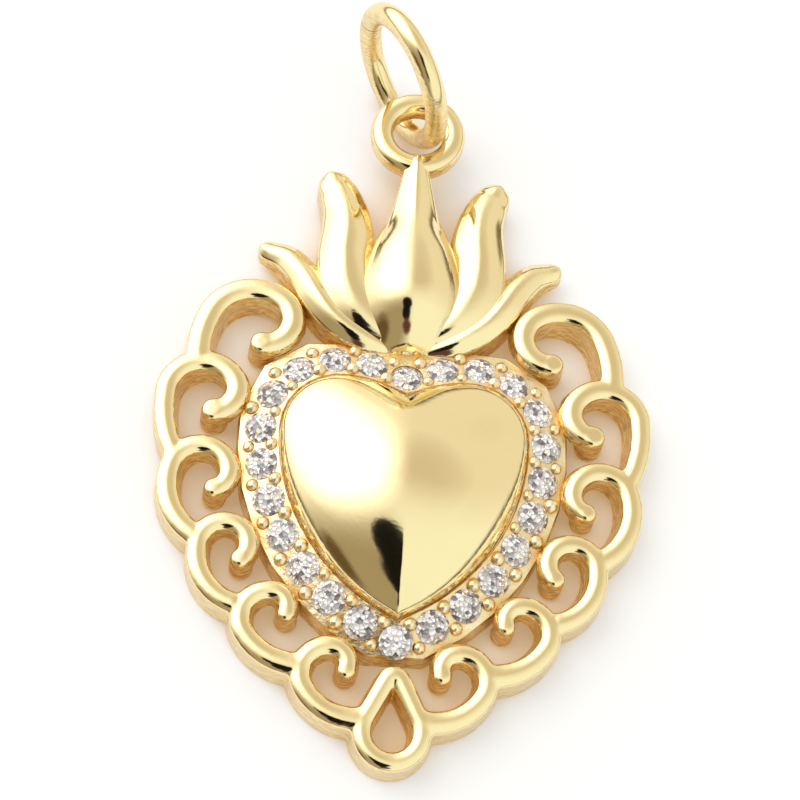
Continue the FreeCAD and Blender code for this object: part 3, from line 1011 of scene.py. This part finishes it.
class PENDANT_OT_ring(Operator):
    """Model the jump ring with its fine slit"""
    bl_idname = "pendant.ring"
    bl_label = "Jump ring"

    def execute(self, context):
        ring = context.scene.pendant_ring
        radius, half = mm(ring.radius), mm(ring.wire) / 2
        along = Vector((-math.sin(ring.heading), math.cos(ring.heading), 0))
        axis = Vector((along.y, -along.x, 0))
        centre = Vector((mm(ring.x), mm(ring.y), radius + half + mm(ring.lift)))
        open_turn = mm(ring.slit) / radius
        start = ring.slit_turn + open_turn / 2
        outwards = along * math.cos(start) + Vector((0, 0, math.sin(start)))
        corners = []
        for k in range(24):
            turn = math.radians(15 * k)
            out, across = radius + half * math.cos(turn), half * math.sin(turn)
            corners.append(centre + outwards * out + axis * across)
        made = outline("jump_ring_wire", corners)
        edit(made)
        bpy.ops.mesh.spin(steps=110, angle=2 * math.pi - open_turn, center=centre, axis=-axis)
        bpy.ops.object.mode_set(mode="OBJECT")
        tidy(made, 0.0001)
        place(made, ring_gold(), "ring_gold", "jump_ring", angle=ROUND_WIRE, body="jump_ring")
        return {"FINISHED"}


# Stones

def facet(out, point, steepness, side=1):
    """Cuts one facet through a point (off the axis, height), steepness in radians from level."""
    off, height = point
    normal = out * math.sin(steepness) + Vector((0, 0, side * math.cos(steepness)))
    bpy.ops.mesh.select_all(action="SELECT")
    bpy.ops.mesh.bisect(plane_co=out * off + Vector((0, 0, height)), plane_no=normal,
                        use_fill=True, clear_outer=True, threshold=0.00001)


def cut_stone(stones):
    """A round brilliant, cut facet by facet from a plain cylinder."""
    radius, crown, pavilion = mm(stones.diameter) / 2, mm(stones.crown), mm(stones.pavilion)
    clear()
    bpy.ops.mesh.primitive_cylinder_add(vertices=32, radius=radius, depth=3 * pavilion)
    made = bpy.context.object
    edit(made)
    table = 0.57 * radius
    girdle = 0.02
    bezel, star, under = math.atan2(crown - girdle, radius - table), math.radians(21), math.radians(40.8)
    facet(Vector((1, 0, 0)), (0, crown), 0)
    for k in range(16):
        flat = polar(Vector((0, 0, 0)), 1.0, 22.5 * k)
        if k % 2 == 0:
            facet(flat, (radius, girdle), bezel)
            facet(flat, (radius, -girdle), under, -1)
        else:
            facet(flat, (table * math.cos(math.radians(22.5)), crown), star)
        edge = polar(Vector((0, 0, 0)), 1.0, 22.5 * k + 11.25)
        facet(edge, (radius, 0.018), bezel + math.radians(6))
        facet(edge, (radius, -0.018), under + math.radians(1.2), -1)
    bpy.ops.object.mode_set(mode="OBJECT")
    tidy(made)
    return made


class PENDANT_OT_stones(Operator):
    """Cut one brilliant stone and set a copy in every seat"""
    bl_idname = "pendant.stones"
    bl_label = "Stones"

    def execute(self, context):
        stones = context.scene.pendant_stones
        material = material_once("clear_crystal", crystal, tuple(finish_colours().crystal))
        master = cut_stone(stones)
        run = 2 * heart_run() / stones.count
        for k in range(stones.count):
            made = bpy.data.objects.new("brilliant_%02d" % (k + 1), master.data.copy())
            context.scene.collection.objects.link(made)
            spin = Matrix.Rotation(math.radians((k * 137) % 45), 4, "Z")
            made.data.transform(seat_matrix(k * run) @ spin)
            place(made, material, "stone_crystal", "stone_%02d" % (k + 1), angle=0)
        bpy.data.objects.remove(master)
        return {"FINISHED"}


# Stage

class PENDANT_OT_stage(Operator):
    """Lay the pale table and set the studio light and the camera"""
    bl_idname = "pendant.stage"
    bl_label = "Stage"

    def execute(self, context):
        clear()
        bpy.ops.mesh.primitive_plane_add(size=2.0, location=(0, 0, -TABLE_GAP * MM))
        floor = context.object
        floor.name = "table_top"
        floor.data.materials.append(table_material(tuple(finish_colours().table)))
        studio_world(context.scene)
        softbox()
        camera_data = bpy.data.cameras.new("photo_camera")
        camera_data.lens = CAMERA_LENS
        camera_data.clip_start = 0.001
        camera_data.clip_end = 5.0
        camera = bpy.data.objects.new("photo_camera", camera_data)
        context.scene.collection.objects.link(camera)
        camera.location = Vector(CAMERA_PLACE) * MM
        camera.rotation_euler = [math.radians(turn) for turn in CAMERA_TURN]
        context.scene.camera = camera
        context.scene.view_settings.view_transform = "Standard"
        return {"FINISHED"}


def seen_directly(tree):
    """1 for camera, glossy and transmission rays, else 0."""
    path = tree.nodes.new("ShaderNodeLightPath").outputs
    total = combine(tree, "MAXIMUM", path["Is Camera Ray"], path["Is Glossy Ray"])
    return combine(tree, "MAXIMUM", total, path["Is Transmission Ray"])


def table_material(tone):
    """A pale table that stays near white to the eye, with a painted warm shadow and painted gold bounce light
    close to the pendant.
    """
    material, tree, shader = nodes_of("pale_table")
    clouds = remap(tree, noise(tree, object_place(tree), 40.0, 2.0), 0.4, 0.6, 0.0, 0.3)
    white = blend(tree, clouds, tone, dimmed(tone, 0.99))
    # Painted shadow: where little is open above, close to the pendant, the table takes the warm colour of
    # shade and gold bounce light.
    shadow_free_share = remap(tree, openness(tree, 0.0035, 8), 0.15, 0.62, 0.0, 1.0)
    tree.links.new(blend(tree, shadow_free_share, TABLE_SHADOW_AND_GOLD_BOUNCE, white), shader.inputs["Base Color"])
    shader.inputs["Roughness"].default_value = 0.9
    shader.inputs["Specular IOR Level"].default_value = 0.0
    glow = tree.nodes.new("ShaderNodeEmission")
    # The glow the camera sees carries the same painted shadow near the pendant; elsewhere it is an even white.
    tree.links.new(blend(tree, shadow_free_share, TABLE_SHADOW_AND_GOLD_BOUNCE, WHITE), glow.inputs["Color"])
    mix = tree.nodes.new("ShaderNodeMixShader")
    tree.links.new(combine(tree, "MULTIPLY", seen_directly(tree), TABLE_SHARE), mix.inputs[0])
    tree.links.new(shader.outputs[0], mix.inputs[1])
    tree.links.new(glow.outputs[0], mix.inputs[2])
    tree.links.new(mix.outputs[0], tree.nodes["Material Output"].inputs["Surface"])
    return material


def patch(tree, direction, way, inner, outer):
    """1 inside a round patch of the studio round a direction, 0 outside, with a soft rim."""
    dot = tree.nodes.new("ShaderNodeVectorMath")
    dot.operation = "DOT_PRODUCT"
    tree.links.new(direction, dot.inputs[0])
    dot.inputs[1].default_value = Vector(way).normalized()
    rim, core = math.cos(math.radians(outer)), math.cos(math.radians(inner))
    return remap(tree, dot.outputs["Value"], rim, core, 0.0, 1.0)


def studio_world(scene):
    """A pale tent: brightest to the upper left, dim to the lower left, dark low in front."""
    world = bpy.data.worlds.new("studio")
    world.use_nodes = True
    scene.world = world
    tree = world.node_tree
    direction = tree.nodes.new("ShaderNodeTexCoord").outputs["Generated"]
    apart = tree.nodes.new("ShaderNodeSeparateXYZ")
    tree.links.new(direction, apart.inputs["Vector"])
    x, y, z = (apart.outputs[name] for name in "XYZ")

    def ramp(value, low, high, to_low=0.0, to_high=1.0):
        return remap(tree, value, low, high, to_low, to_high, soft=True)

    def with_patch(base, way, inner, outer, tone):
        return blend(tree, patch(tree, direction, way, inner, outer), base, tone)

    upper_left = with_patch(WINDOW[3], *WINDOW[:3], WINDOW[4])
    upper_right = with_patch(FAR_CORNER[3], *FAR_CORNER[:3], FAR_CORNER[4])
    left_side = blend(tree, ramp(y, -0.48, 0.24), LOW_LEFT, upper_left)
    right_side = blend(tree, ramp(y, -0.35, 0.35), LOW_RIGHT, upper_right)
    tent = blend(tree, ramp(x, -0.34, 0.17, 1.0, 0.0), right_side, left_side)
    for part in DARK_PARTS:
        tent = with_patch(tent, *part)
    tent = blend(tree, ramp(z, 0.02, 0.18, 1.0, 0.0), tent, SKYLINE)
    tree.links.new(tent, tree.nodes["Background"].inputs["Color"])
    tree.nodes["Background"].inputs["Strength"].default_value = 1.0


def softbox():
    """A large soft lamp at the upper left, aimed at the pendant and not mirrored in it."""
    light = bpy.data.lights.new("key_softbox", "AREA")
    light.shape = "SQUARE"
    light.size = SOFTBOX_SIZE
    light.energy = SOFTBOX_ENERGY
    made = bpy.data.objects.new("key_softbox", light)
    bpy.context.scene.collection.objects.link(made)
    made.location = SOFTBOX_PLACE
    made.visible_glossy = False
    made.rotation_euler = (-Vector(SOFTBOX_PLACE)).to_track_quat("-Z", "Y").to_euler()


STEPS = ("border", "halo", "prongs", "dome", "flame", "loop", "ring", "stones", "stage")


class VIEW3D_PT_pendant(Panel):
    """Sizes, finishes and steps of the pendant"""
    bl_label = "Sacred heart pendant"
    bl_idname = "VIEW3D_PT_pendant"
    bl_space_type = "VIEW_3D"
    bl_region_type = "UI"
    bl_category = "Pendant"

    def draw(self, context):
        layout = self.layout
        for name, group in GROUPS.items():
            box = layout.box()
            box.label(text=name.replace("pendant_", "").capitalize())
            for key in group.__annotations__:
                box.prop(getattr(context.scene, name), key)
        for step in STEPS:
            layout.operator("pendant." + step)


CLASSES = tuple(GROUPS.values()) + (
    PENDANT_OT_border, PENDANT_OT_halo, PENDANT_OT_prongs, PENDANT_OT_dome, PENDANT_OT_flame,
    PENDANT_OT_loop, PENDANT_OT_ring, PENDANT_OT_stones, PENDANT_OT_stage, VIEW3D_PT_pendant,
)


def register():
    for kind in CLASSES:
        bpy.utils.register_class(kind)
    for name, group in GROUPS.items():
        setattr(bpy.types.Scene, name, PointerProperty(type=group))


def unregister():
    for name in GROUPS:
        delattr(bpy.types.Scene, name)
    for kind in reversed(CLASSES):
        bpy.utils.unregister_class(kind)


def main():
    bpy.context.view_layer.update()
    register()
    for step in STEPS:
        getattr(bpy.ops.pendant, step)()


if __name__ == "__main__":
    main()
